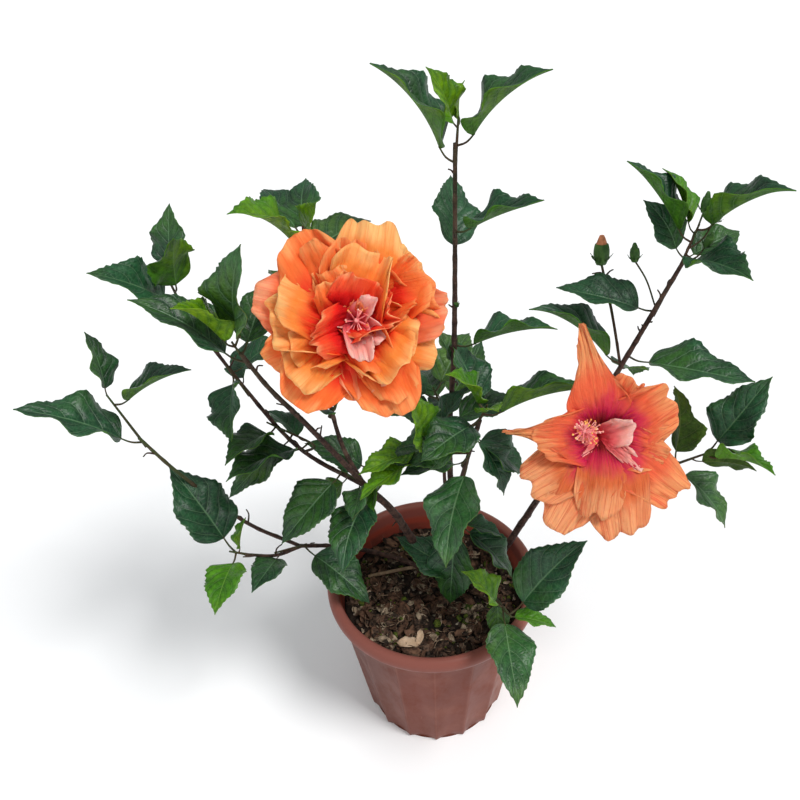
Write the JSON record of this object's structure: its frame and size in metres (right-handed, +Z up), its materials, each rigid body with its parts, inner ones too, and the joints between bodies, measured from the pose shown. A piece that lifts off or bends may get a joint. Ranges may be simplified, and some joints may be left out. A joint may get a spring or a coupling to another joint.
{
  "type": "potted flowering shrub",
  "caption": "Open hibiscus shrub with serrated leaves on bent woody boughs and double orange blooms, in a sixteen-sided fluted flower pot",
  "frame": {"origin": "the middle of the pot's flat underside, where it stands", "axes": "+Z runs up through the pot, -Y is the side that the blooms face, +X is to the right of that side"},
  "size_m": [0.6057, 0.3319, 0.6656],
  "materials": {
    "pot": "satin",
    "soil": "rough",
    "bark": "rough",
    "foliage": "satin",
    "bloom": "satin"
  },
  "bodies": {
    "root": {"pot": "pot", "soil": "soil", "trunk": "bark", "stem_centre": "bark", "stem_right": "bark", "bough_low_left": "bark", "bough_upper_left": "bark", "bough_bloom_left": "bark", "bough_outer_left": "bark", "bough_far_left": "bark", "branch_low_left": "bark", "branch_centre": "bark", "branch_right_side": "bark", "shoot_low_right": "bark", "shoot_back": "bark", "stalk_bloom_left": "bark", "stalk_bloom_right": "bark", "stalk_buds": "bark", "bloom_left": "bloom", "bloom_right": "bloom", "foliage_top_tip": "foliage", "foliage_top_middle": "foliage", "foliage_stem_leaf": "foliage", "foliage_centre_crown": "foliage", "foliage_centre_left": "foliage", "foliage_centre_front": "foliage", "foliage_centre_low": "foliage", "foliage_trunk_left": "foliage", "foliage_left_inner": "foliage", "foliage_under_bloom": "foliage", "foliage_low_left_fork": "foliage", "foliage_low_left_tip": "foliage", "foliage_far_left": "foliage", "foliage_upper_left_tip": "foliage", "foliage_upper_left": "foliage", "foliage_outer_left": "foliage", "foliage_behind_bloom_left": "foliage", "foliage_back_left": "foliage", "foliage_right_tip": "foliage", "foliage_right_leaf": "foliage", "foliage_right_middle": "foliage", "foliage_right_side": "foliage", "foliage_right_back": "foliage", "foliage_low_right": "foliage", "foliage_back": "foliage", "foliage_back_centre": "foliage"}
  },
  "joints": []
}
